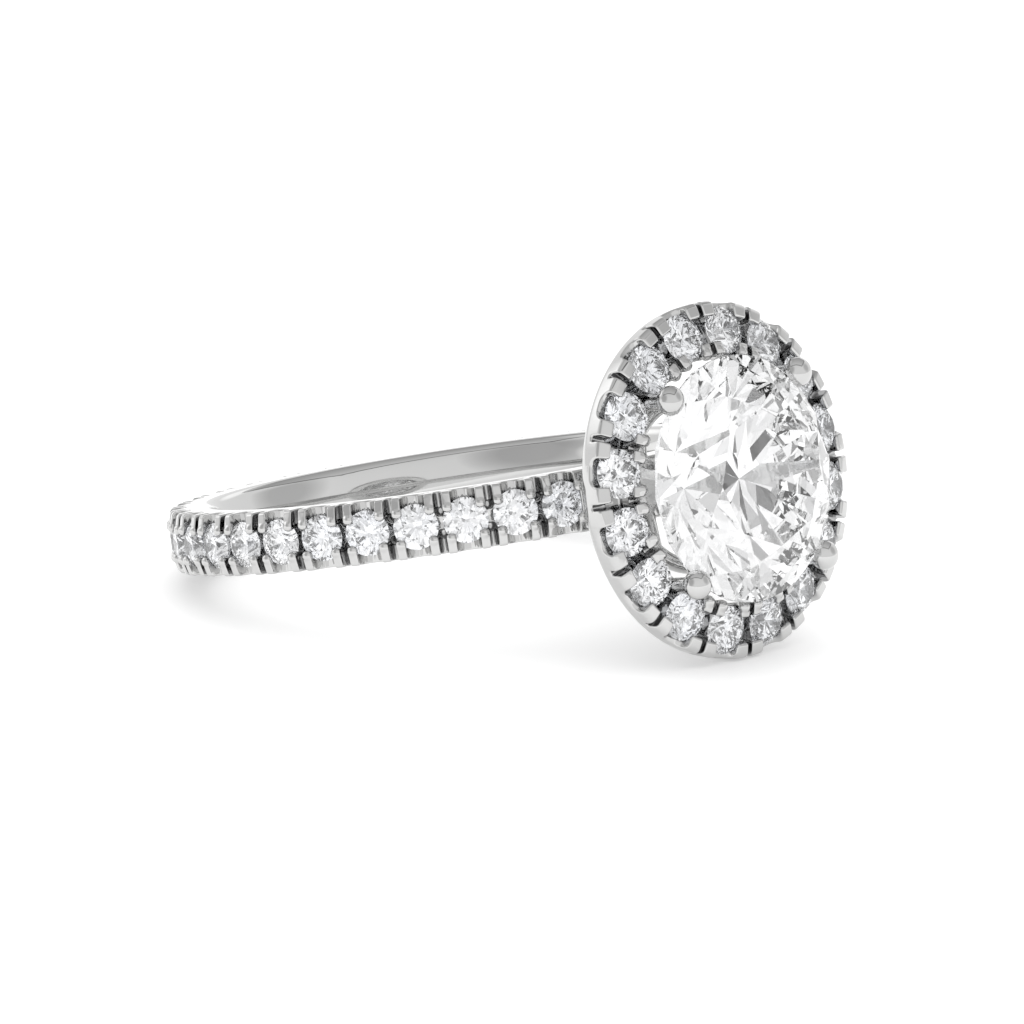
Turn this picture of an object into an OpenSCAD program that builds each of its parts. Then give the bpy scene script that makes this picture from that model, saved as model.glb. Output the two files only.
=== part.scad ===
// Halo ring: a paved band with a large round brilliant in a four-claw head,
// ringed by a halo of small brilliants. The ring lies on its side, resting on
// the back of the band and the lower rim of the halo.

/* [Shank] */
// Radius of the finger hole
bore_r = 8.25; // [8.1:0.05:8.4]
// Radius over the tips of the band's prongs
band_r = 10; // [9.95:0.01:10.1]
// Width of the band along the finger
band_w = 2.05; // [2:0.05:2.2]
// Chamfer along the edges of the finger hole
comfort = 0.2; // [0.1:0.05:0.25]
// Chamfer along the band's outer edges
edge_c = 0.12; // [0.08:0.02:0.16]
// Radius of the channel floor under the band's stones
channel_r = 8.92; // [8.85:0.01:8.94]

/* [Band stones] */
// Number of stones round the band
band_n = 32; // [30:1:32]
// Angle from the head to the first stone, in degrees
band_first = 24.2; // [24:0.1:27]
// Diameter of a band stone
band_stone_d = 1.54; // [1.46:0.02:1.54]
// Radius at which the girdles of the band stones sit
band_girdle_r = 9.66; // [9.64:0.01:9.7]

/* [Halo] */
// Number of stones in the halo
halo_n = 16; // [16:4:16]
// Diameter of a halo stone
halo_stone_d = 1.66; // [1.58:0.02:1.66]
// Radius of the circle of halo stones
halo_r = 5.04; // [5.04:0.01:5.08]
// Angle by which the halo stones lean outward, in degrees
halo_lean = 15; // [14:0.5:16]
// Outer radius of the halo wall at its back edge
halo_wall_r = 5.92; // [5.88:0.01:5.96]
// Outer radius of the halo near its prong tips
halo_tip_r = 6.03; // [6:0.01:6.06]
// Inner radius of the halo frame
halo_in_r = 4.12; // [4.1:0.01:4.14]
// Distance from the finger axis to the back of the halo
halo_back = 11.36; // [11.3:0.02:11.4]
// Distance from the finger axis to the girdles of the halo stones
halo_girdle = 12.56; // [12.54:0.01:12.6]
// Height of the halo prongs over the girdles of their stones
halo_tip = 0.22; // [0.18:0.01:0.24]

/* [Head] */
// Diameter of the centre stone
centre_d = 8.3; // [8:0.05:8.34]
// Turn of the centre stone about its own axis, in degrees
centre_turn = 0; // [0:0.5:44.5]
// Distance from the finger axis to the girdle of the centre stone
centre_girdle = 13.42; // [13.36:0.02:13.5]
// Radius of the circle on which the claws stand
claw_r = 4.4; // [4.38:0.01:4.4]
// Diameter of a claw's wire
claw_d = 0.54; // [0.44:0.02:0.56]
// Diameter of the ball on a claw's tip
ball_d = 0.94; // [0.84:0.02:1]
// Distance from the finger axis to the centres of the claw balls
ball_at = 13.65; // [13.6:0.01:13.72]
// Distance from the finger axis to the gallery rail
rail_at = 10.8; // [10.7:0.05:10.9]
// Thickness of the gallery rail
rail_d = 0.56; // [0.5:0.02:0.6]

/* [Hidden] */
$fn = 64;

gap = 0.03;                                   // between a stone and its seat
pitch = (360 - 2 * band_first) / (band_n - 1);  // angle between band stones
halo_pitch = 360 / halo_n;
wall_z = 0.4;                                 // half width of the band's channel

// cut of a round brilliant, as shares of its radius
table_k = 0.57;      // table
crown_a = 34.5;      // crown angle
pav_a = 40.75;       // pavilion angle
star_k = 0.5;        // length of the star facets
lower_k = 0.77;      // length of the lower girdle facets
girdle_k = 0.05;     // thickness of the girdle

// where the ring touches what it lies on: the halo's lower rim and the back
// of the band
rim_x = halo_back + 0.34;
rim_r = halo_wall_r;
back_x = band_r - edge_c;
back_z = band_w / 2;
tilt = atan((rim_r - back_z) / (rim_x + back_x));
lift = back_x * sin(tilt) + back_z * cos(tilt);
// length of the lying ring, from the back of the band to the table's edge
centre_r = centre_d / 2;
table_at = centre_girdle + centre_r * (girdle_k / 2 + (1 - table_k) * tan(crown_a));
table_low = centre_r * table_k * max([for (i = [0:7]) cos(centre_turn + 45 * i)]);
reach_front = table_at * cos(tilt) + table_low * sin(tilt);
reach_back = band_r * cos(tilt) + (band_w / 2 - edge_c) * sin(tilt);
mid_x = (reach_front - reach_back) / 2;

// ---------- placing ----------

// the ring's own frame has the finger axis along Z and the head along X
module at_rest() {
    translate([-mid_x, 0, lift]) rotate([0, -tilt, 0]) children();
}

// a stone's frame has its table up along Z
module on_head(at) {
    translate([at, 0, 0]) rotate([0, 90, 0]) children();
}

module on_halo(a) {
    on_head(halo_girdle) rotate([0, 0, a]) translate([halo_r, 0, 0]) rotate([0, halo_lean, 0]) children();
}

module on_band(a, r) {
    rotate([0, 0, a]) translate([r, 0, 0]) rotate([0, 90, 0]) children();
}

function band_angle(i) = band_first + i * pitch;
function halo_angle(i) = (i + 0.5) * halo_pitch;
// a point of the halo's section, from out and up in the leaning frame of its
// stones, as radius and distance from the finger axis
function halo_pt(out, up) = [
    halo_r + out * cos(halo_lean) + up * sin(halo_lean),
    halo_girdle - out * sin(halo_lean) + up * cos(halo_lean)];

// ---------- stones ----------

function rim_pts(r, z, n, off) = [for (i = [0:n - 1]) [r * cos(off + i * 360 / n), r * sin(off + i * 360 / n), z]];

// where the edge between two girdle facets, continued outward, reaches radius r2
function edge_z(star, g, h, r2) =
    let (n = cross(star - g, h - g))
    g[2] - n[0] / n[2] * (r2 - g[0]);

// a faceted round brilliant of radius r, girdle at z = 0
module brilliant(r) {
    g = r * girdle_k / 2;
    rt = r * table_k;
    mid = rt * cos(22.5);
    rs = mid + star_k * (r - mid);
    zt = g + (r - rt) * tan(crown_a);
    zs = g + (r - rs * cos(22.5)) * tan(crown_a);
    rq = r * (1 - lower_k);
    zq = -g - (r - rq * cos(22.5)) * tan(pav_a);
    zc = -g - r * tan(pav_a);
    r2 = r / cos(11.25) * 1.002;
    // the girdle corners, carried past the round girdle that trims them
    s = [rs * cos(22.5), rs * sin(22.5), zs];
    q = [rq * cos(22.5), rq * sin(22.5), zq];
    gu = [r, 0, g];
    gl = [r, 0, -g];
    hu = [r * cos(22.5), r * sin(22.5), g];
    hl = [r * cos(22.5), r * sin(22.5), -g];
    main_u = edge_z(s, gu, hu, r2);
    main_l = edge_z(q, gl, hl, r2);
    half_u = g - (r2 - r) * (zs - g) / (r - rs);
    half_l = -g + (r2 - r) * (-g - zq) / (r - rq);
    pts = concat(
        rim_pts(rt, zt, 8, 0),                                   // 0  table
        rim_pts(rs, zs, 8, 22.5),                                // 8  star
        [for (i = [0:15]) let (a = 22.5 * i) [r2 * cos(a), r2 * sin(a), i % 2 == 0 ? main_u : half_u]],   // 16
        [for (i = [0:15]) let (a = 22.5 * i) [r2 * cos(a), r2 * sin(a), i % 2 == 0 ? main_l : half_l]],   // 32
        rim_pts(rq, zq, 8, 22.5),                                // 48 lower
        [[0, 0, zc]]);                                           // 56 culet
    tri = concat(
        [[7, 6, 5, 4, 3, 2, 1, 0]],
        [for (i = [0:7]) [i, (i + 1) % 8, 8 + i]],
        [for (i = [0:7]) [i, 8 + i, 16 + 2 * i]],
        [for (i = [0:7]) [i, 16 + 2 * i, 8 + (i + 7) % 8]],
        [for (i = [0:7]) [8 + i, 17 + 2 * i, 16 + 2 * i]],
        [for (i = [0:7]) [8 + i, 16 + (2 * i + 2) % 16, 17 + 2 * i]],
        [for (i = [0:15]) [16 + i, 16 + (i + 1) % 16, 32 + i]],
        [for (i = [0:15]) [16 + (i + 1) % 16, 32 + (i + 1) % 16, 32 + i]],
        [for (i = [0:7]) [48 + i, 32 + 2 * i, 33 + 2 * i]],
        [for (i = [0:7]) [48 + i, 33 + 2 * i, 32 + (2 * i + 2) % 16]],
        [for (i = [0:7]) [56, 32 + 2 * i, 48 + i]],
        [for (i = [0:7]) [56, 48 + (i + 7) % 8, 32 + 2 * i]]);
    faces = [for (f = tri) [for (k = [len(f) - 1:-1:0]) f[k]]];
    intersection() {
        translate([0, 0, zc - 1]) cylinder(r = r, h = zt - zc + 2);
        polyhedron(points = pts, faces = concat([[for (k = [7:-1:0]) k]], [for (k = [1:len(faces) - 1]) faces[k]]));
    }
}

// the outline of a small stone, grown by more all round
function stone_pts(r, more) = [
    [0, -r * (girdle_k / 2 + tan(pav_a)) - more],
    [r + more, -r * girdle_k / 2 - more / 2],
    [r + more, r * girdle_k / 2 + more / 2],
    [r * table_k + more, r * (girdle_k / 2 + (1 - table_k) * tan(crown_a)) + more],
    [0, r * (girdle_k / 2 + (1 - table_k) * tan(crown_a)) + more]];

module small_stone(r) {
    rotate_extrude() polygon(stone_pts(r, 0));
}

module centre_stone() {
    color([0.93, 0.95, 0.98]) at_rest() on_head(centre_girdle) rotate([0, 0, centre_turn]) brilliant(centre_r);
}

// the paved row of the halo, its stones joined by a thread under their girdles
module halo_stones() {
    color([0.88, 0.91, 0.96]) at_rest() {
        for (i = [0:halo_n - 1]) on_halo(halo_angle(i)) small_stone(halo_stone_d / 2);
        on_head(0) rotate_extrude() translate(halo_pt(0, -0.2)) square([0.16, 0.16], center = true);
    }
}

// the paved row of the band, joined in the same way
module band_stones() {
    color([0.88, 0.91, 0.96]) at_rest() {
        for (i = [0:band_n - 1]) on_band(band_angle(i), band_girdle_r) small_stone(band_stone_d / 2);
        rotate([0, 0, band_first]) rotate_extrude(angle = 360 - 2 * band_first)
            translate([band_girdle_r - 0.2, 0]) square([0.16, 0.16], center = true);
    }
}

// ---------- metal ----------

module shank_body() {
    rotate_extrude() polygon([
        [bore_r, -band_w / 2 + comfort], [bore_r + comfort, -band_w / 2],
        [band_r - edge_c, -band_w / 2], [band_r, -band_w / 2 + edge_c],
        [band_r, band_w / 2 - edge_c], [band_r - edge_c, band_w / 2],
        [bore_r + comfort, band_w / 2], [bore_r, band_w / 2 - comfort]]);
}

// the channel for the row of stones, ending short of the head
module band_channel() {
    rotate([0, 0, band_first - pitch / 2 + 0.4]) rotate_extrude(angle = 360 - 2 * band_first + pitch - 0.8)
        translate([channel_r, -wall_z]) square([2, 2 * wall_z]);
}

// a seat for each stone, a scallop through both walls beside it and a slot
// that splits each post between two stones into a pair of prongs
module band_cuts() {
    for (i = [0:band_n - 1]) {
        on_band(band_angle(i), band_girdle_r - 0.34) cylinder(r = band_stone_d / 2 + gap, h = 1.2);
        rotate([0, 0, band_angle(i)]) translate([band_r - 0.2, 0, 0]) cylinder(r = 0.44, h = band_w + 1, center = true);
    }
    for (i = [0:band_n - 2]) rotate([0, 0, band_angle(i) + pitch / 2])
        translate([9.3, -0.13, -band_w]) cube([2, 0.26, 2 * band_w]);
}

module halo_body() {
    on_head(0) rotate_extrude() polygon([
        [halo_in_r, halo_back], [halo_wall_r - 0.4, halo_back],
        [halo_wall_r, rim_x], [halo_tip_r, halo_girdle - 0.14],
        halo_pt(0.9, halo_tip), halo_pt(-0.84, halo_tip),
        [halo_in_r, halo_girdle + 0.34]]);
}

// the groove behind the halo stones
module halo_channel() {
    on_head(0) rotate_extrude() polygon([
        halo_pt(-0.46, -0.82), halo_pt(0.46, -0.82), halo_pt(0.46, 1), halo_pt(-0.46, 1)]);
}

module halo_cuts() {
    for (i = [0:halo_n - 1]) {
        on_halo(halo_angle(i)) {
            translate([0, 0, -0.37]) cylinder(r = halo_stone_d / 2 + gap, h = 1.2);
            translate([-1.2, 0, 0]) rotate([0, 90, 0]) cylinder(r1 = 0.34, r2 = 0.46, h = 2.6);
        }
        on_halo(halo_angle(i) + halo_pitch / 2) {
            translate([0.3, -0.09, -0.34]) cube([1.2, 0.18, 1.4]);
            translate([-1.3, -0.1, -0.3]) cube([1, 0.2, 1.4]);
        }
    }
}

// one claw: a wire up through the halo, bent in to the band below it
module claw(a) {
    base_x = bore_r + 1.25;
    base_r = 1.2;
    knee_x = 12.05;
    run = norm([claw_r - base_r, knee_x - base_x]);
    lean = atan((claw_r - base_r) / (knee_x - base_x));
    on_head(0) rotate([0, 0, a]) {
        translate([base_r, 0, base_x]) rotate([0, lean, 0]) cylinder(d = claw_d, h = run, $fn = 32);
        translate([claw_r, 0, knee_x]) sphere(d = claw_d, $fn = 32);
        translate([claw_r, 0, knee_x]) cylinder(d = claw_d, h = ball_at - knee_x, $fn = 32);
        translate([claw_r, 0, ball_at]) sphere(d = ball_d, $fn = 48);
    }
}

module gallery_rail() {
    base_x = bore_r + 1.25;
    r = 1.2 + (rail_at - base_x) * (claw_r - 1.2) / (12.05 - base_x);
    on_head(rail_at) rotate_extrude() translate([r, 0]) circle(d = rail_d, $fn = 32);
}

module shank_and_setting() {
    color([0.78, 0.79, 0.8]) at_rest() difference() {
        union() {
            difference() {
                shank_body();
                band_channel();
                band_cuts();
            }
            difference() {
                halo_body();
                halo_channel();
                halo_cuts();
            }
            for (a = [45:90:315]) claw(a);
            gallery_rail();
        }
        // the seat of the centre stone in the claws, and room for its culet
        on_head(centre_girdle) rotate_extrude() polygon(stone_pts(centre_r, gap));
    }
}

shank_and_setting();
centre_stone();
halo_stones();
band_stones();
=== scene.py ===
import math

import bmesh
import bpy
import numpy as np
from mathutils import Matrix


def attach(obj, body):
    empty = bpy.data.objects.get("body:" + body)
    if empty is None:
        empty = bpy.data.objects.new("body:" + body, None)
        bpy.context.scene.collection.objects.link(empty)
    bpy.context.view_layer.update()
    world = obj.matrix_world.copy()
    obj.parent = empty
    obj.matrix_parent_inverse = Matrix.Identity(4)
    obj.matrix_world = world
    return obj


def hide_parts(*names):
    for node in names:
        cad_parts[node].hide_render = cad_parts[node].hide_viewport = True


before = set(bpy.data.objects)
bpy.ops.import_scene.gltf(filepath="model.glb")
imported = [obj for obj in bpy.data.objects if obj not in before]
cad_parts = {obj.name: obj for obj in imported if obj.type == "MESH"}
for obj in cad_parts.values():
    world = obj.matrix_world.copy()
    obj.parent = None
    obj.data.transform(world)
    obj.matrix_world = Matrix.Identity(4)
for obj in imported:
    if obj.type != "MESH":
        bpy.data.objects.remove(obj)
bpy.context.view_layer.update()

# Lengths are in millimetres until a mesh is made, in the ring's own frame: the
# finger axis is Z and the head points along X.
MM = 0.001
BORE_R, BAND_R, REST_W, EDGE_C = 8.25, 10.0, 2.05, 0.12
BAND_W = 2.11
BAND_N, BAND_FIRST = 32, 24.2
PITCH = math.radians((360 - 2 * BAND_FIRST) / (BAND_N - 1))
BAND_STONE_R, BAND_GIRDLE = 0.77, 9.66
HALO_N, HALO_STONE_R, HALO_R, HALO_GIRDLE = 16, 0.83, 5.04, 12.56
HALO_PITCH = 2 * math.pi / HALO_N
LEAN = math.radians(15)
HALO_BACK, RIM_X, WALL_R, TIP_R, IN_R = 11.36, 11.70, 5.92, 6.03, 4.12
CENTRE_R, CENTRE_GIRDLE, CENTRE_TURN = 4.15, 13.42, 0.0
CLAW_R, CLAW_WIRE, BALL_R, BALL_H, BALL_AT = 4.40, 0.27, 0.51, 0.44, 13.65
BASE_X, BASE_R, KNEE_X = 9.5, 1.15, 12.05
RAIL_AT, RAIL_WIRE = 10.8, 0.28
TABLE_K, CROWN_A, PAV_A = 0.57, math.radians(34.5), math.radians(40.75)
STAR_K, LOWER_K, GIRDLE_K = 0.50, 0.77, 0.05

TILT = math.atan((WALL_R - REST_W / 2) / (RIM_X + BAND_R - EDGE_C))
LIFT = (BAND_R - EDGE_C) * math.sin(TILT) + REST_W / 2 * math.cos(TILT)
TABLE_AT = CENTRE_GIRDLE + CENTRE_R * (GIRDLE_K / 2 + (1 - TABLE_K) * math.tan(CROWN_A))
FRONT = TABLE_AT * math.cos(TILT) + CENTRE_R * TABLE_K * max(
    math.cos(math.radians(CENTRE_TURN) + k * math.pi / 4) for k in range(8)) * math.sin(TILT)
BACK = BAND_R * math.cos(TILT) + (REST_W / 2 - EDGE_C) * math.sin(TILT)
MID_X = (FRONT - BACK) / 2
# the ring's frame to the row's frame, in metres
REST = np.array([
    [math.cos(TILT), 0, -math.sin(TILT), -MID_X],
    [0, 1, 0, 0],
    [math.sin(TILT), 0, math.cos(TILT), LIFT],
    [0, 0, 0, 1]])


def to_row(p):
    return (p @ REST[:3, :3].T + REST[:3, 3]) * MM


# ---------------------------------------------------------------- materials

def new_mat(name):
    m = bpy.data.materials.new(name)
    m.use_nodes = True
    t = m.node_tree
    t.nodes.clear()
    out = t.nodes.new("ShaderNodeOutputMaterial")
    return m, t, out


def node(t, kind, **values):
    n = t.nodes.new(kind)
    for k, v in values.items():
        if hasattr(n, k):
            setattr(n, k, v)
        else:
            n.inputs[k].default_value = v
    return n


def ramp(t, fac, stops):
    r = t.nodes.new("ShaderNodeValToRGB")
    e = r.color_ramp.elements
    while len(e) < len(stops):
        e.new(0.5)
    for i, (pos, col) in enumerate(stops):
        e[i].position = pos
        e[i].color = (col, col, col, 1) if isinstance(col, (int, float)) else (*col, 1)
    t.links.new(fac, r.inputs["Fac"])
    return r


def metal_material():
    m, t, out = new_mat("white_metal")
    b = node(t, "ShaderNodeBsdfPrincipled", Metallic=1.0)
    co = node(t, "ShaderNodeTexCoord")
    fine = node(t, "ShaderNodeTexNoise", Scale=2600.0, Detail=6.0, Roughness=0.6)
    broad = node(t, "ShaderNodeTexNoise", Scale=220.0, Detail=3.0, Roughness=0.5)
    for n in (fine, broad):
        t.links.new(co.outputs["Object"], n.inputs["Vector"])
    tone = ramp(t, broad.outputs["Fac"], [(0.3, (0.575, 0.575, 0.572)), (0.7, (0.62, 0.62, 0.616))])
    # painted shade: the metal's colour darkens to a dark grey in its crevices, by how deep in a crevice each
    # point lies
    deep = node(t, "ShaderNodeAttribute", attribute_name="crevice_shade")
    k = ramp(t, deep.outputs["Fac"], [(0.42, 0.0), (1.0, 0.92)])
    mix = node(t, "ShaderNodeMix", data_type="RGBA")
    t.links.new(k.outputs["Color"], mix.inputs["Factor"])
    t.links.new(tone.outputs["Color"], mix.inputs[6])
    mix.inputs[7].default_value = (0.20, 0.20, 0.205, 1)
    t.links.new(mix.outputs[2], b.inputs["Base Color"])
    rough = ramp(t, fine.outputs["Fac"], [(0.3, 0.035), (0.75, 0.085)])
    t.links.new(rough.outputs["Color"], b.inputs["Roughness"])
    bump = node(t, "ShaderNodeBump", Strength=0.02, Distance=0.00002)
    t.links.new(fine.outputs["Fac"], bump.inputs["Height"])
    t.links.new(bump.outputs["Normal"], b.inputs["Normal"])
    t.links.new(b.outputs["BSDF"], out.inputs["Surface"])
    return m


def gem_material(name, tint):
    m, t, out = new_mat(name)
    b = node(t, "ShaderNodeBsdfPrincipled", IOR=2.417)
    b.inputs["Transmission Weight"].default_value = 1.0
    co = node(t, "ShaderNodeTexCoord")
    n = node(t, "ShaderNodeTexNoise", Scale=900.0, Detail=3.0)
    t.links.new(co.outputs["Object"], n.inputs["Vector"])
    tone = ramp(t, n.outputs["Fac"], [(0.3, tint), (0.7, (1.0, 1.0, 1.0))])
    t.links.new(tone.outputs["Color"], b.inputs["Base Color"])
    rough = ramp(t, n.outputs["Fac"], [(0.35, 0.0), (0.8, 0.003)])
    t.links.new(rough.outputs["Color"], b.inputs["Roughness"])
    t.links.new(b.outputs["BSDF"], out.inputs["Surface"])
    return m


METAL = metal_material()
GEM = gem_material("centre_gem", (0.97, 0.975, 0.985))
SMALL_GEM = gem_material("small_gems", (0.92, 0.94, 0.985))


def add_object(name, verts, faces, mat, normals=None, smooth=True):
    me = bpy.data.meshes.new(name)
    me.from_pydata(verts.tolist(), [], [list(map(int, f)) for f in faces])
    me.validate()
    me.update()
    me.materials.append(mat)
    me.polygons.foreach_set("use_smooth", [smooth] * len(me.polygons))
    if normals is not None and len(normals) == len(me.vertices):
        me.normals_split_custom_set_from_vertices(normals.tolist())
    ob = bpy.data.objects.new(name, me)
    bpy.context.scene.collection.objects.link(ob)
    return ob


# ---------------------------------------------------------------- fields

def smax(a, b, k):
    h = np.clip(0.5 - 0.5 * (b - a) / k, 0, 1)
    return b + (a - b) * h + k * h * (1 - h)


def smin(a, b, k):
    return -smax(-a, -b, k)


def stone_field(rad, up, r, grow=0.0):
    """Distance to a small stone's outline: rad from its axis, up from its girdle."""
    g = r * GIRDLE_K / 2
    crown = (rad - r) * math.sin(CROWN_A) + (up - g) * math.cos(CROWN_A)
    pav = (rad - r) * math.sin(PAV_A) - (up + g) * math.cos(PAV_A)
    top = up - (g + r * (1 - TABLE_K) * math.tan(CROWN_A))
    return np.maximum(np.maximum(crown, pav), np.maximum(rad - r, top)) - grow


def body_field(r, az):
    """The band's section: a domed inside, and a top that falls off toward its edges."""
    inner = BORE_R + 0.22 * az * az - r
    b = smax(inner, az - BAND_W / 2, 0.26)
    top = (r - BAND_R + 0.07 + 0.26 * np.maximum(az - 0.55, 0.0)) * 0.97
    return smax(b, top, 0.12)


def band_cuts(b, r, xs, ys, ym, az, slot):
    """The cuts and beads about one stone: xs, ys from its middle, ym from the post beside it."""
    ch = smax(az - 0.41, 9.30 - r - 0.10 * np.cos(np.minimum(az * 7.0, 3.14)), 0.10)
    if not slot:
        ch = smax(ch, ym + 0.30, 0.12)
    b = smax(b, -ch, 0.08)
    if slot:
        cut = smax(np.abs(ym) - 0.14, 9.30 - r, 0.16)
        b = smax(b, -cut, 0.05)
        hole = smax(np.hypot(ym, az - 0.37) - 0.15, 8.80 - r, 0.1)
        b = smax(b, -hole, 0.05)
    # the scallop beside the stone: a U, open outward
    u = np.hypot(ys, np.minimum(xs - 9.64, 0.0)) - 0.415
    b = smax(b, -u, 0.05)
    # the beads at the prongs' ends
    bead = np.sqrt((np.abs(ym) - 0.30) ** 2 + (az - 0.52) ** 2 + (r - 9.825) ** 2) - 0.178
    b = smin(b, bead, 0.045)
    seat = stone_field(np.hypot(ys, az), xs - BAND_GIRDLE, BAND_STONE_R, 0.012)
    return smax(b, -seat, 0.02)


def fold(a, half):
    """An angle folded into one half pitch, from a stone's middle to the post beside it."""
    return half - np.abs(half - np.abs(a))


def band_field(p):
    """One pitch of the band, folded about its stone at angle 0 and about z = 0."""
    r = np.hypot(p[..., 0], p[..., 1])
    phi = fold(np.arctan2(p[..., 1], p[..., 0]), PITCH / 2)
    az = np.abs(p[..., 2])
    ym = r * np.sin(PITCH / 2 - phi)
    return band_cuts(body_field(r, az), r, r * np.cos(phi), r * np.sin(phi), ym, az, True)


def band_stone(p):
    phi = fold(np.arctan2(p[..., 1], p[..., 0]), PITCH / 2)
    r = np.hypot(p[..., 0], p[..., 1])
    return stone_field(np.hypot(r * np.sin(phi), p[..., 2]), r * np.cos(phi) - BAND_GIRDLE, BAND_STONE_R)


def end_field(p):
    """The plain stretch under the head, to the first stone's middle."""
    r = np.hypot(p[..., 0], p[..., 1])
    phi = np.abs(np.arctan2(p[..., 1], p[..., 0]))
    az = np.abs(p[..., 2])
    first = math.radians(BAND_FIRST)
    # below zero on the stone's side of the last post
    ym = r * (first - PITCH / 2 - phi)
    b = body_field(r, az)
    b = band_cuts(b, r, r * np.cos(phi - first), r * np.sin(phi - first), ym, az, False)
    dimple = stone_field(np.hypot(p[..., 1], p[..., 2]), p[..., 0] - CENTRE_GIRDLE, CENTRE_R, 0.12)
    return smax(b, -dimple, 0.06)


def end_stone(p):
    r = np.hypot(p[..., 0], p[..., 1])
    phi = np.abs(np.arctan2(p[..., 1], p[..., 0])) - math.radians(BAND_FIRST)
    return stone_field(np.hypot(r * np.sin(phi), p[..., 2]), r * np.cos(phi) - BAND_GIRDLE, BAND_STONE_R)


def halo_frame(p):
    """Radius, angle from the stone's middle, and out and up in the stone's frame and the post's."""
    rho = np.hypot(p[..., 1], p[..., 2])
    th = fold(np.arctan2(p[..., 2], p[..., 1]), HALO_PITCH / 2)
    dx = p[..., 0] - HALO_GIRDLE
    ru = rho * np.cos(th) - HALO_R
    out_s = ru * math.cos(LEAN) - dx * math.sin(LEAN)
    up_s = ru * math.sin(LEAN) + dx * math.cos(LEAN)
    out_a = (rho - HALO_R) * math.cos(LEAN) - dx * math.sin(LEAN)
    up_a = (rho - HALO_R) * math.sin(LEAN) + dx * math.cos(LEAN)
    return rho, th, out_s, up_s, out_a, up_a


def halo_stone(p):
    rho, th, out_s, up_s, _, _ = halo_frame(p)
    return stone_field(np.hypot(rho * np.sin(th), out_s), up_s, HALO_STONE_R)


def halo_field(p, claw=False):
    """The halo frame, folded about a stone's middle at angle 0."""
    x = p[..., 0]
    rho, th, out_s, up_s, out_a, up_a = halo_frame(p)
    tu = rho * np.sin(th)
    tm = rho * np.sin(HALO_PITCH / 2 - th)
    wall = rho - (WALL_R + (TIP_R - WALL_R) / 0.72 * (x - RIM_X))
    bevel = ((rho - WALL_R) * 0.34 - (x - RIM_X) * 0.40) / 0.525
    b = smax(wall, bevel, 0.14)
    b = smax(b, HALO_BACK - x, 0.16)
    b = smax(b, IN_R - rho, 0.14)
    b = smax(b, up_a - 0.25, 0.22)
    groove = smax(np.abs(out_a) - 0.44, -0.78 - up_a, 0.12)
    b = smax(b, -groove, 0.12)
    out_slot = smax(smax(tm - 0.095, -0.23 - up_a, 0.11), 0.1 - out_a, 0.1)
    b = smax(b, -out_slot, 0.08)
    in_slot = smax(smax(tm - 0.11, -0.22 - up_a, 0.12), out_a + 0.1, 0.1)
    b = smax(b, -in_slot, 0.06)
    # the scallop: wide and shallow through the outer wall, narrower inside
    outer = out_s > 0
    corner = 0.34
    dx = tu - np.where(outer, 0.455 + 0.03 * out_s, 0.40) + corner
    dy = np.where(outer, -0.17, -0.30) + corner - up_s
    u = np.hypot(np.maximum(dx, 0), np.maximum(dy, 0)) + np.minimum(np.maximum(dx, dy), 0) - corner
    b = smax(b, -u, 0.09)
    if claw:
        # the beads give way to the claw's wire
        clear = smax(tm - 0.60, smax(out_a + 0.42, -0.30 - up_a, 0.08), 0.08)
        b = smax(b, -clear, 0.06)
    else:
        bead = np.sqrt((tm - 0.315) ** 2 + (out_a + 0.80) ** 2 + (up_a - 0.12) ** 2) - 0.215
        b = smin(b, bead, 0.05)
    seat = stone_field(np.hypot(tu, out_s), up_s, HALO_STONE_R, 0.012)
    return smax(b, -seat, 0.02)


def capsule(r, x, y, a, b, rad):
    """Distance to a rod from a to b, given as (r, x) in the claw's plane."""
    d = np.array([b[0] - a[0], b[1] - a[1]])
    h = np.clip(((r - a[0]) * d[0] + (x - a[1]) * d[1]) / (d @ d), 0, 1)
    return np.sqrt((r - a[0] - h * d[0]) ** 2 + (x - a[1] - h * d[1]) ** 2 + y * y) - rad


def claw_field(p):
    """A claw in its own plane: x along the head, y across, radius as z."""
    x, y, r = p[..., 0], p[..., 1], p[..., 2]
    lower = capsule(r, x, y, (BASE_R, BASE_X), (CLAW_R, KNEE_X), CLAW_WIRE)
    upper = capsule(r, x, y, (CLAW_R, KNEE_X), (CLAW_R, BALL_AT), CLAW_WIRE + 0.015)
    k = BALL_R / BALL_H
    ball = (np.sqrt((r - CLAW_R) ** 2 + ((x - BALL_AT) * k) ** 2 + y * y) - BALL_R) / (0.5 + 0.5 * k)
    b = smin(lower, upper, 0.30)
    b = smin(b, ball, 0.07)
    seat = stone_field(np.hypot(y, r), x - CENTRE_GIRDLE, CENTRE_R, 0.015)
    return smax(b, -seat, 0.02)


# ---------------------------------------------------------------- meshing

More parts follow.
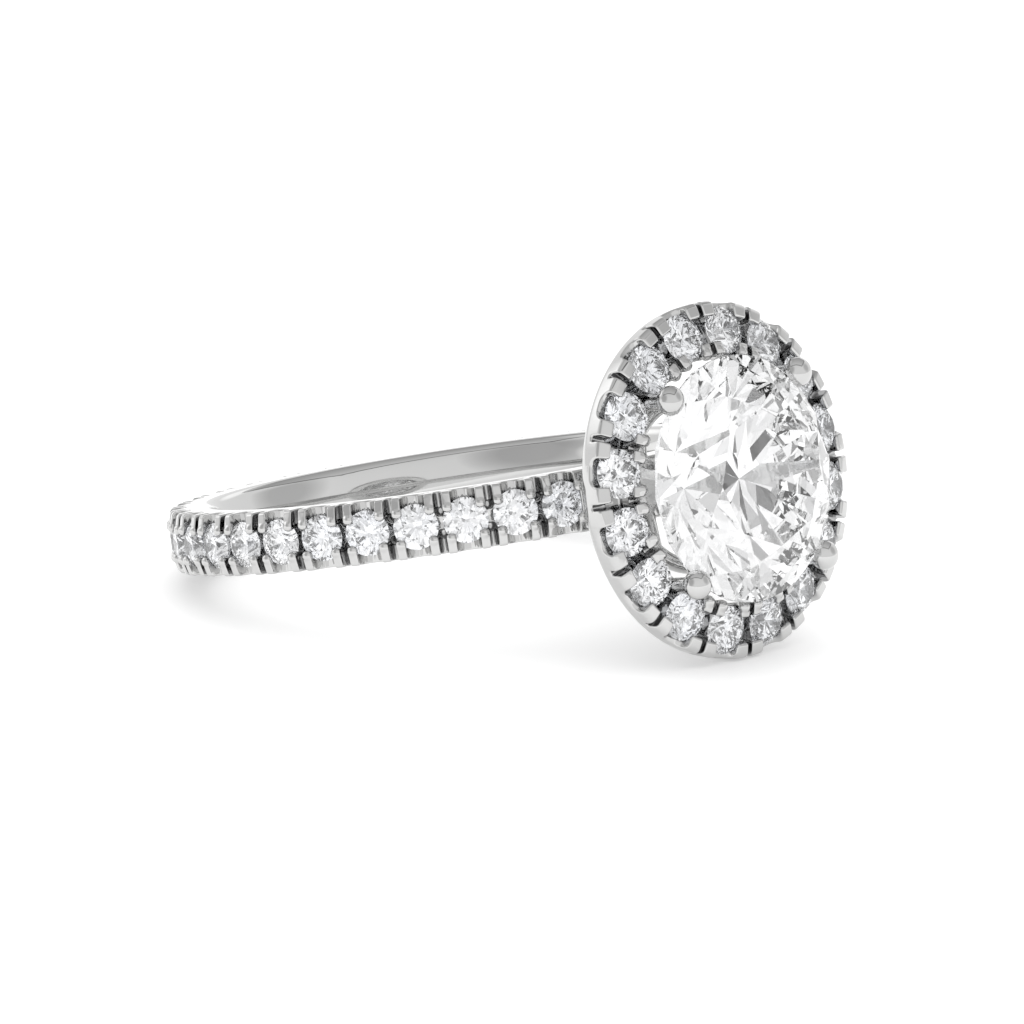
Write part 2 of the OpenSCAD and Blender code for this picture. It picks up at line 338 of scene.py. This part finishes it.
def surface_net(f):
    """Naive surface net of a field sampled on a grid: vertices in grid steps and quads."""
    s = f < 0
    nx, ny, nz = f.shape
    cx, cy, cz = nx - 1, ny - 1, nz - 1
    acc = np.zeros((cx, cy, cz, 3))
    cnt = np.zeros((cx, cy, cz))
    corners = [(i, j, k) for i in (0, 1) for j in (0, 1) for k in (0, 1)]
    for a in corners:
        for ax in range(3):
            if a[ax]:
                continue
            b = list(a)
            b[ax] = 1
            fa = f[a[0]:a[0] + cx, a[1]:a[1] + cy, a[2]:a[2] + cz]
            fb = f[b[0]:b[0] + cx, b[1]:b[1] + cy, b[2]:b[2] + cz]
            hit = (fa < 0) != (fb < 0)
            with np.errstate(divide="ignore", invalid="ignore"):
                t = np.where(hit, fa / (fa - fb), 0.0)
            for c in range(3):
                acc[..., c] += np.where(hit, a[c] + (t if c == ax else 0.0), 0.0)
            cnt += hit
    live = cnt > 0
    idx = -np.ones((cx, cy, cz), dtype=np.int64)
    idx[live] = np.arange(live.sum())
    base = np.argwhere(live).astype(float)
    verts = base + acc[live] / cnt[live][:, None]
    quads = []
    for ax in range(3):
        o1, o2 = [c for c in range(3) if c != ax]
        sl_a = [slice(None)] * 3
        sl_b = [slice(None)] * 3
        sl_a[ax], sl_b[ax] = slice(0, -1), slice(1, None)
        sa, sb = s[tuple(sl_a)], s[tuple(sl_b)]
        hit = np.argwhere(sa != sb)
        ok = (hit[:, o1] > 0) & (hit[:, o2] > 0) & (hit[:, o1] < f.shape[o1] - 1) & (hit[:, o2] < f.shape[o2] - 1)
        hit = hit[ok]
        inside = sa[tuple(hit.T)]
        ring = []
        for d1, d2 in ((-1, -1), (0, -1), (0, 0), (-1, 0)):
            h = hit.copy()
            h[:, o1] += d1
            h[:, o2] += d2
            ring.append(idx[tuple(h.T)])
        q = np.stack(ring, 1)
        flip = inside if ax != 1 else ~inside
        q[~flip] = q[~flip][:, ::-1]
        quads.append(q)
    return verts, np.concatenate(quads)


def gradient(field, p, e=0.004):
    g = np.empty_like(p)
    for c in range(3):
        d = np.zeros(3)
        d[c] = e
        g[:, c] = (field(p + d) - field(p - d)) / (2 * e)
    n = np.linalg.norm(g, axis=1, keepdims=True)
    return g / np.maximum(n, 1e-9)


def crevice_shade(field, stone, p, n):
    """How deep in a crevice each point lies, 0 to 1, from how near the metal and the
    stones come along its normal. This sets how much painted shade the metal gets there."""
    c = np.zeros(len(p))
    for d in (0.12, 0.28, 0.50):
        q = p + n * d
        near = field(q)
        if stone is not None:
            near = np.minimum(near, stone(q) + 0.03)
        c += np.clip(1.15 - near / (0.8 * d), 0, 1) / 3
    return c


def sheet(field, stone, mesh):
    p, t = mesh
    n = gradient(field, p)
    return p, t, n, crevice_shade(field, stone, p, n)


def relax(field, p, planes, rounds=4, step=0.02):
    """Moves points onto the field's surface. Those on a plane (normal, where) stay in it."""
    p = p.copy()
    for _ in range(rounds):
        g = gradient(field, p)
        move = -field(p)[:, None] * g
        for n, on in planes:
            move[on] -= np.outer(move[on] @ n, n)
        size = np.linalg.norm(move, axis=1, keepdims=True)
        p += move * np.minimum(1, step / np.maximum(size, 1e-9))
    return p


def cell_mesh(field, axes, to_xyz, planes, target):
    """Meshes a field over a box of parameters. axes are (low, high, steps, closed low,
    closed high): a closed end is a plane of symmetry, where the mesh ends flush. planes
    are the normals of those planes, all through the origin. Returns points and triangles."""
    lines = []
    for lo, hi, n, m0, m1 in axes:
        h = (hi - lo) / n
        a = lo + h * np.arange(n + 1)
        if m0:
            a = lo + h * (np.arange(-1, n + 1) + 0.5)
        elif m1:
            a = hi - h * (np.arange(n, -2, -1) + 0.5)
        lines.append(a)
    grid = np.stack(np.meshgrid(*lines, indexing="ij"), -1)
    f = field(to_xyz(grid))
    for ax, (lo, hi, n, m0, m1) in enumerate(axes):
        sl = [slice(None)] * 3
        if m0:
            a, b = list(sl), list(sl)
            a[ax], b[ax] = 0, 1
            f[tuple(a)] = f[tuple(b)]
        if m1:
            a, b = list(sl), list(sl)
            a[ax], b[ax] = -1, -2
            f[tuple(a)] = f[tuple(b)]
    v, q = surface_net(f)
    par = np.stack([np.interp(v[:, c], np.arange(len(lines[c])), lines[c]) for c in range(3)], 1)
    p = to_xyz(par)
    on = [(n, np.abs(p @ n) < 1e-5) for n in planes]
    p = relax(field, p, on)
    # fewer triangles, with the open edges kept in their planes
    me = bpy.data.meshes.new("tmp")
    me.from_pydata(p.tolist(), [], q.tolist())
    bm = bmesh.new()
    bm.from_mesh(me)
    bmesh.ops.triangulate(bm, faces=bm.faces[:])
    bm.to_mesh(me)
    full = len(bm.faces)
    bm.free()
    ob = bpy.data.objects.new("tmp", me)
    bpy.context.scene.collection.objects.link(ob)
    if target and full > target:
        mod = ob.modifiers.new("d", "DECIMATE")
        mod.ratio = target / full
        ev = ob.evaluated_get(bpy.context.evaluated_depsgraph_get())
        out = bpy.data.meshes.new_from_object(ev)
    else:
        out = me
    n = len(out.vertices)
    p = np.empty(n * 3)
    out.vertices.foreach_get("co", p)
    p = p.reshape(-1, 3)
    out.calc_loop_triangles()
    tri = np.empty(len(out.loop_triangles) * 3, dtype=np.int32)
    out.loop_triangles.foreach_get("vertices", tri)
    tri = tri.reshape(-1, 3)
    bpy.data.objects.remove(ob)
    # boundary vertices go back on their planes
    e = np.sort(np.concatenate([tri[:, [0, 1]], tri[:, [1, 2]], tri[:, [2, 0]]]), 1)
    uniq, count = np.unique(e, axis=0, return_counts=True)
    edge = np.zeros(n, bool)
    edge[np.unique(uniq[count == 1])] = True
    on = []
    for nrm in planes:
        near = edge & (np.abs(p @ nrm) < 0.03)
        p[near] -= np.outer(p[near] @ nrm, nrm)
        on.append((nrm, near))
    p = relax(field, p, on, rounds=3)
    print("cell", field.__name__, "full", full, "kept", len(tri))
    return p, tri


def joined(parts):
    fs, k = [], 0
    for part in parts:
        fs.append(part[1] + k)
        k += len(part[0])
    cat = [np.concatenate([part[i] for part in parts]) for i in (0, 2, 3)]
    return cat[0], np.concatenate(fs), cat[1], cat[2]


def mirrored(part, axis):
    v, f, n, c = part
    s = np.ones(3)
    s[axis] = -1
    return v * s, f[:, ::-1], n * s, c


def turned(part, m):
    v, f, n, c = part
    return v @ m.T, f, n @ m.T, c


def weld(part, eps=1e-4):
    """Joins vertices that share a place, with the mean of their normals."""
    v, f, n, c = part
    key = np.round(v / eps).astype(np.int64)
    _, first, inv = np.unique(key, axis=0, return_index=True, return_inverse=True)
    inv = inv.reshape(-1)
    nn = np.zeros((len(first), 3))
    np.add.at(nn, inv, n)
    nn /= np.maximum(np.linalg.norm(nn, axis=1, keepdims=True), 1e-9)
    f = inv[f]
    good = (f[:, 0] != f[:, 1]) & (f[:, 1] != f[:, 2]) & (f[:, 0] != f[:, 2])
    return v[first], f[good], nn, c[first]


def rot_z(a):
    c, s = math.cos(a), math.sin(a)
    return np.array([[c, -s, 0], [s, c, 0], [0, 0, 1.0]])


def rot_x(a):
    c, s = math.cos(a), math.sin(a)
    return np.array([[1.0, 0, 0], [0, c, -s], [0, s, c]])


def cyl_z(g):
    return np.stack([g[..., 0] * np.cos(g[..., 1]), g[..., 0] * np.sin(g[..., 1]), g[..., 2]], -1)


def cyl_x(g):
    return np.stack([g[..., 2], g[..., 0] * np.cos(g[..., 1]), g[..., 0] * np.sin(g[..., 1])], -1)


def plane_z(a):
    """Normal of the plane through the Z axis at angle a."""
    return np.array([-math.sin(a), math.cos(a), 0.0])


def plane_x(a):
    return np.array([0.0, -math.sin(a), math.cos(a)])


def finish_metal(name, part):
    v, f, n, c = weld(part)
    ob = add_object(name, to_row(v), f, METAL, n @ REST[:3, :3].T)
    # this attribute is how much painted shade the metal gets in its crevices
    if len(ob.data.vertices) == len(c):
        ob.data.attributes.new("crevice_shade", "FLOAT", "POINT").data.foreach_set("value", c.astype(np.float32))
    print(name, "triangles", len(f))
    return ob


def build_band():
    up = np.array([0.0, 0.0, 1.0])
    h = 0.024
    half = PITCH / 2
    p, t = cell_mesh(
        band_field,
        [(8.1, 10.15, int(2.05 / h), False, False), (0, half, round(half * 9.5 / h), True, True), (0, 1.15, int(1.15 / h), True, False)],
        cyl_z, [plane_z(0), plane_z(half), up], 1350)
    q = sheet(band_field, band_stone, (p, t))
    cell = [q, mirrored(q, 2)]
    cell += [mirrored(c, 1) for c in cell]
    right = [c for c in cell[:2]]            # from the stone to the slot after it
    left = [c for c in cell[2:]]
    parts = []
    first = math.radians(BAND_FIRST)
    for i in range(BAND_N):
        m = rot_z(first + i * PITCH)
        if i < BAND_N - 1:
            parts += [turned(c, m) for c in right]
        if i > 0:
            parts += [turned(c, m) for c in left]
    p, t = cell_mesh(
        end_field,
        [(8.1, 10.15, int(2.05 / h), False, False), (0, first, round(first * 9.5 / h), True, True), (0, 1.15, int(1.15 / h), True, False)],
        cyl_z, [plane_z(0), plane_z(first), up], 3200)
    q = sheet(end_field, end_stone, (p, t))
    ends = [q, mirrored(q, 2)]
    ends += [mirrored(c, 1) for c in ends]
    return finish_metal("band_metal", joined(parts + ends))


def build_halo():
    h = 0.026
    half = HALO_PITCH / 2
    kinds = []
    for claw in (False, True):
        fld = (lambda q, c=claw: halo_field(q, c))
        fld.__name__ = "halo"
        p, t = cell_mesh(
            fld,
            [(3.95, 6.2, int(2.25 / h), False, False), (0, half, round(half * 5 / h), True, True), (11.2, 13.25, int(2.05 / h), False, False)],
            cyl_x, [plane_x(0), plane_x(half)], 3300)
        q = sheet(fld, halo_stone, (p, t))
        kinds.append((q, mirrored(q, 2)))
    parts = []
    for i in range(HALO_N):
        at = (i + 0.5) * HALO_PITCH
        # the slot after stone i is at i + 1 pitches, and every fourth one holds a claw
        parts.append(turned(kinds[(i + 1) % 4 == 2][0], rot_x(at)))
        parts.append(turned(kinds[i % 4 == 2][1], rot_x(at)))
    return finish_metal("halo_metal", joined(parts))


def torus(x, major, minor, n=96, m=20):
    a = np.linspace(0, 2 * np.pi, n, endpoint=False)[:, None]
    b = np.linspace(0, 2 * np.pi, m, endpoint=False)[None, :]
    r = major + minor * np.cos(b)
    xs = x + minor * np.sin(b) + 0 * a
    v = np.stack([xs, r * np.cos(a), r * np.sin(a)], -1).reshape(-1, 3)
    nr = np.stack([np.sin(b) + 0 * a, np.cos(b) * np.cos(a), np.cos(b) * np.sin(a)], -1).reshape(-1, 3)
    i = np.arange(n)[:, None] * m
    j = np.arange(m)[None, :]
    i2, j2 = (np.arange(n)[:, None] + 1) % n * m, (j + 1) % m
    q = np.stack([i + j, i2 + j, i2 + j2, i + j2], -1).reshape(-1, 4)
    tri = np.concatenate([q[:, [0, 1, 2]], q[:, [0, 2, 3]]])
    return v, tri, nr, np.zeros(len(v))


def build_claws():
    h = 0.034
    p, t = cell_mesh(
        claw_field,
        [(9.1, 14.25, int(5.15 / h), False, False), (0, 0.62, int(0.62 / h), True, False), (0.6, 5.05, int(4.45 / h), False, False)],
        lambda g: g, [np.array([0.0, 1.0, 0.0])], 3000)
    q = sheet(claw_field, None, (p, t))
    whole = [q, mirrored(q, 1)]
    parts = []
    for k in range(4):
        # the claw's plane holds X and its radius, which is Z here
        parts += [turned(c, rot_x(math.pi / 4 + k * math.pi / 2)) for c in whole]
    rail_r = BASE_R + (RAIL_AT - BASE_X) * (CLAW_R - BASE_R) / (KNEE_X - BASE_X)
    parts.append(torus(RAIL_AT, rail_r, RAIL_WIRE))
    return finish_metal("claws_and_gallery", joined(parts))


# ---------------------------------------------------------------- stones

def brilliant(r, around, star=STAR_K, lower=LOWER_K):
    """A round brilliant cut from a round blank, table up along Z, girdle at z = 0."""
    g = r * GIRDLE_K / 2
    rt = r * TABLE_K
    mid = rt * math.cos(math.pi / 8)
    rs = mid + star * (r - mid)
    zt = g + (r - rt) * math.tan(CROWN_A)
    zs = g + (r - rs * math.cos(math.pi / 8)) * math.tan(CROWN_A)
    rq = r * (1 - lower)
    zq = -g - (r - rq * math.cos(math.pi / 8)) * math.tan(PAV_A)
    zc = -g - r * math.tan(PAV_A)
    bm = bmesh.new()
    bmesh.ops.create_cone(bm, cap_ends=True, segments=around, radius1=r, radius2=r, depth=zt - zc + 0.2 * r)
    bmesh.ops.translate(bm, verts=bm.verts[:], vec=(0, 0, (zt + zc) / 2))

    def pol(rad, a, z):
        return np.array([rad * math.cos(a), rad * math.sin(a), z])

    def cut(a, b, c):
        n = np.cross(b - a, c - a)
        n /= np.linalg.norm(n)
        if n @ a < 0 or (abs(n @ a) < 1e-9 and n[2] < 0):
            n = -n
        geom = bm.verts[:] + bm.edges[:] + bm.faces[:]
        res = bmesh.ops.bisect_plane(bm, geom=geom, dist=1e-6 * r, plane_co=a.tolist(), plane_no=n.tolist(), clear_outer=True)
        edges = [e for e in res["geom_cut"] if isinstance(e, bmesh.types.BMEdge) and e.is_valid]
        if edges:
            bmesh.ops.contextual_create(bm, geom=edges)

    e = math.pi / 8
    cut(pol(rt, 0, zt), pol(rt, 2 * e, zt), pol(rt, 4 * e, zt))
    for k in range(8):
        a = 2 * k * e
        cut(pol(r, a, g), pol(rs, a - e, zs), pol(rs, a + e, zs))             # bezel
        cut(pol(rt, a, zt), pol(rt, a + 2 * e, zt), pol(rs, a + e, zs))       # star
        cut(pol(rs, a + e, zs), pol(r, a, g), pol(r, a + e, g))               # upper halves
        cut(pol(rs, a + e, zs), pol(r, a + 2 * e, g), pol(r, a + e, g))
        cut(pol(r, a, -g), pol(rq, a - e, zq), pol(rq, a + e, zq))            # pavilion main
        cut(pol(rq, a + e, zq), pol(r, a, -g), pol(r, a + e, -g))             # lower halves
        cut(pol(rq, a + e, zq), pol(r, a + 2 * e, -g), pol(r, a + e, -g))
    bmesh.ops.remove_doubles(bm, verts=bm.verts[:], dist=1e-5 * r)
    bmesh.ops.recalc_face_normals(bm, faces=bm.faces[:])
    bmesh.ops.triangulate(bm, faces=[f for f in bm.faces if len(f.verts) > 4])
    bm.verts.ensure_lookup_table()
    v = np.array([w.co[:] for w in bm.verts])
    f = [[w.index for w in fc.verts] for fc in bm.faces]
    bm.free()
    return v, f


def frame_at(origin, right, forward, up):
    """Columns of a stone's frame: its X, Y and table direction."""
    return np.array(origin), np.stack([right, forward, up], 1)


def place_stones(name, shape, frames, mat):
    vs, fs, k = [], [], 0
    v, f = shape
    for o, m in frames:
        vs.append(v @ m.T + o)
        fs += [[i + k for i in face] for face in f]
        k += len(v)
    return add_object(name, to_row(np.concatenate(vs)), fs, mat, smooth=False)


def build_stones():
    rng = np.random.default_rng(7)
    X = np.array([1.0, 0, 0])
    # halo
    shape = brilliant(HALO_STONE_R, 40)
    frames = []
    for i in range(HALO_N):
        a = (i + 0.5) * HALO_PITCH
        rad = np.array([0, math.cos(a), math.sin(a)])
        tan = np.array([0, -math.sin(a), math.cos(a)])
        up = math.cos(LEAN) * X + math.sin(LEAN) * rad
        out = math.cos(LEAN) * rad - math.sin(LEAN) * X
        t = rng.uniform(0, math.pi / 4)
        e1 = math.cos(t) * out + math.sin(t) * tan
        e2 = np.cross(up, e1)
        frames.append(frame_at(HALO_R * rad + HALO_GIRDLE * X, e1, e2, up))
    halo = place_stones("halo_gems", shape, frames, SMALL_GEM)
    # band
    shape = brilliant(BAND_STONE_R, 40)
    frames = []
    for i in range(BAND_N):
        a = math.radians(BAND_FIRST) + i * PITCH
        up = np.array([math.cos(a), math.sin(a), 0])
        tan = np.array([-math.sin(a), math.cos(a), 0])
        t = rng.uniform(0, math.pi / 4)
        e1 = math.cos(t) * tan + math.sin(t) * np.array([0, 0, 1.0])
        e2 = np.cross(up, e1)
        frames.append(frame_at(BAND_GIRDLE * up, e1, e2, up))
    band = place_stones("band_gems", shape, frames, SMALL_GEM)
    # centre
    shape = brilliant(CENTRE_R, 96)
    t = math.radians(CENTRE_TURN)
    e1 = -math.cos(t) * np.array([0, 0, 1.0]) + math.sin(t) * np.array([0, 1.0, 0])
    e2 = np.cross(X, e1)
    centre = place_stones("centre_gem", shape, [frame_at(CENTRE_GIRDLE * X, e1, e2, X)], GEM)
    return centre, halo, band


band_metal = build_band()
halo_metal = build_halo()
claws = build_claws()
centre_gem, halo_gems, band_gems = build_stones()
for ob in (band_metal, halo_metal, claws):
    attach(ob, "root")
    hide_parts("shank_and_setting")
for ob, cad, slot in ((centre_gem, "centre_stone", "centre_gem"), (halo_gems, "halo_stones", "small_gems"), (band_gems, "band_stones", "small_gems")):
    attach(ob, "root")
    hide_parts(cad)

# ---------------------------------------------------------------- stage

def floor_material():
    m, t, out = new_mat("floor")
    b = node(t, "ShaderNodeBsdfPrincipled", Roughness=0.6)
    n = node(t, "ShaderNodeTexNoise", Scale=40.0, Detail=4.0)
    co = node(t, "ShaderNodeTexCoord")
    t.links.new(co.outputs["Object"], n.inputs["Vector"])
    tone = ramp(t, n.outputs["Fac"], [(0.3, (0.66, 0.66, 0.66)), (0.7, (0.67, 0.67, 0.67))])
    b.inputs["Emission Color"].default_value = (1, 1, 1, 1)
    b.inputs["Emission Strength"].default_value = 0.46
    t.links.new(tone.outputs["Color"], b.inputs["Base Color"])
    t.links.new(b.outputs["BSDF"], out.inputs["Surface"])
    return m


s = 3.0
floor = add_object("floor", np.array([[-s, -s, 0], [s, -s, 0], [s, s, 0], [-s, s, 0]]), [[0, 1, 2, 3]], floor_material(), smooth=False)

# ---------------------------------------------------------------- light

def world_light(azimuth):
    """A light tent with a grey panel overhead, turned to face azimuth (radians)."""
    w = bpy.data.worlds.new("studio")
    bpy.context.scene.world = w
    w.use_nodes = True
    t = w.node_tree
    t.nodes.clear()
    out = t.nodes.new("ShaderNodeOutputWorld")
    bg = t.nodes.new("ShaderNodeBackground")
    co = t.nodes.new("ShaderNodeTexCoord")
    turn = node(t, "ShaderNodeVectorRotate", rotation_type="Z_AXIS", Angle=-azimuth)
    t.links.new(co.outputs["Generated"], turn.inputs["Vector"])
    sep = t.nodes.new("ShaderNodeSeparateXYZ")
    t.links.new(turn.outputs["Vector"], sep.inputs["Vector"])

    def math_(op, a, b=None, c=None, clamp=False):
        m = t.nodes.new("ShaderNodeMath")
        m.operation = op
        m.use_clamp = clamp
        for i, v in enumerate((a, b, c)):
            if v is None:
                continue
            if isinstance(v, (int, float)):
                m.inputs[i].default_value = v
            else:
                t.links.new(v, m.inputs[i])
        return m.outputs[0]

    # x to the right of one who looks from azimuth, y toward them
    x, y, z = math_("MULTIPLY", sep.outputs["X"], -1.0), sep.outputs["Y"], sep.outputs["Z"]
    zz = math_("MAXIMUM", z, 0.02)
    px, py = math_("DIVIDE", x, zz), math_("DIVIDE", y, zz)

    def box(cx, cy, hx, hy, soft):
        """1 inside a rectangle of the ceiling, 0 outside."""
        dx = math_("SUBTRACT", hx, math_("ABSOLUTE", math_("SUBTRACT", px, cx)))
        dy = math_("SUBTRACT", hy, math_("ABSOLUTE", math_("SUBTRACT", py, cy)))
        return math_("DIVIDE", math_("MINIMUM", dx, dy), soft, clamp=True)

    def lamp(direction, size, gain):
        """A soft round glow about a direction."""
        d = np.array(direction, float)
        d /= np.linalg.norm(d)
        dot = math_("ADD", math_("ADD", math_("MULTIPLY", x, float(d[0])), math_("MULTIPLY", y, float(d[1]))), math_("MULTIPLY", z, float(d[2])))
        lo = math.cos(math.radians(size))
        k = math_("DIVIDE", math_("SUBTRACT", dot, lo), (1 - lo) * 0.8, clamp=True)
        return math_("MULTIPLY", k, gain)

    # walls: even at the height of the eye, brighter above
    wall = ramp(t, math_("MULTIPLY_ADD", z, 0.5, 0.5), WALLS)
    side = math_("MULTIPLY_ADD", x, SIDE_TILT, 1.0)
    walls = math_("MULTIPLY", wall.outputs["Color"], side)
    # the panel overhead, darker toward its far edge, with a dark rim
    cx, cy, hx, hy = PANEL
    panel = ramp(t, math_("MULTIPLY_ADD", py, 0.5 / hy, 0.5 - cy * 0.5 / hy), PANEL_TONES)
    inside = box(cx, cy, hx, hy, 0.05)
    rim = math_("SUBTRACT", box(cx, cy, hx + RIM_W, hy + RIM_W, 0.05), inside, clamp=True)
    mix = math_("ADD", math_("MULTIPLY", walls, math_("SUBTRACT", 1.0, inside)), math_("MULTIPLY", panel.outputs["Color"], inside))
    mix = math_("MULTIPLY", mix, math_("SUBTRACT", 1.0, math_("MULTIPLY", rim, RIM_DARK)))
    # cards that only the stones see
    depth = t.nodes.new("ShaderNodeLightPath")
    in_stone = math_("MINIMUM", depth.outputs["Transmission Depth"], 1.0)
    for direction, size, gain in LAMPS:
        mix = math_("ADD", mix, lamp(direction, size, gain))
    for direction, size, gain in CARDS:
        mix = math_("ADD", mix, math_("MULTIPLY", lamp(direction, size, gain), in_stone))
    mix = math_("MAXIMUM", mix, 0.02)
    t.links.new(mix, bg.inputs["Color"])
    bg.inputs["Strength"].default_value = 1.0
    t.links.new(bg.outputs["Background"], out.inputs["Surface"])


# radiance against height, from straight down to straight up
WALLS = [(0.0, 1.0), (0.5, 1.0), (0.62, 1.02), (0.80, 1.0), (1.0, 0.9)]
SIDE_TILT = 0.0
PANEL = (-0.05, -0.60, 0.95, 1.0)
PANEL_TONES = [(0.0, 0.40), (0.6, 0.58), (1.0, 0.80)]
RIM_W, RIM_DARK = 0.10, 0.85
LAMPS = [((-0.93, 0.3, 0.1), 12, 0.35), ((-0.74, -0.45, 0.5), 26, 0.6), ((0.92, -0.1, 0.42), 26, -0.35),
         ((-0.86, 0.16, 0.42), 20, -0.12), ((0.35, -0.85, 0.42), 14, 0.4), ((-0.62, 0.66, 0.43), 34, -0.42)]
CARDS = [((0.0, 1.0, 0.22), 10, -0.8), ((0.82, 0.52, 0.25), 29, -1.0), ((0.62, 0.74, -0.24), 16, 0.35),
         ((-0.35, 0.2, 0.9), 14, -0.4), ((-0.2, -0.9, 0.4), 18, 0.5)]
TO_CAMERA = math.atan2(-0.704238, 0.705637 * math.cos(TILT) - 0.07827 * math.sin(TILT))
world_light(TO_CAMERA - math.pi / 2)

# a broad light overhead for the floor alone
top = bpy.data.lights.new("overhead", "AREA")
top.shape = "SQUARE"
top.size = 0.6
top.energy = 1.3
top_ob = bpy.data.objects.new("overhead", top)
bpy.context.scene.collection.objects.link(top_ob)
top_ob.location = (0, 0, 0.4)
top_ob.visible_glossy = False
top_ob.visible_transmission = False
top_ob.visible_camera = False

# ---------------------------------------------------------------- camera

def ring_vec(v):
    return np.array(v) @ REST[:3, :3].T


pos = to_row(np.array([[511.3733, -507.9972, 55.8681]]))[0]
right, up, back = (ring_vec(v) for v in (
    (0.706896, 0.69206, -0.146121), (0.048736, 0.158437, 0.986166), (0.705637, -0.704238, 0.07827)))
cam = bpy.data.cameras.new("camera")
cam.sensor_width = 36.0
cam.lens = 749.4
cam.clip_start, cam.clip_end = 0.05, 20.0
cam_ob = bpy.data.objects.new("camera", cam)
bpy.context.scene.collection.objects.link(cam_ob)
cam_ob.matrix_world = Matrix((
    (right[0], up[0], back[0], pos[0]),
    (right[1], up[1], back[1], pos[1]),
    (right[2], up[2], back[2], pos[2]),
    (0, 0, 0, 1)))
sc = bpy.context.scene
sc.camera = cam_ob
sc.view_settings.view_transform = "Standard"
sc.view_settings.look = "None"
c = sc.cycles
c.use_denoising = True
c.use_adaptive_sampling = True
c.adaptive_threshold = 0.012
c.max_bounces = 28
c.transmission_bounces = 24
c.glossy_bounces = 20
c.diffuse_bounces = 3
c.transparent_max_bounces = 16
c.caustics_reflective = False
c.caustics_refractive = True
c.sample_clamp_indirect = 10.0
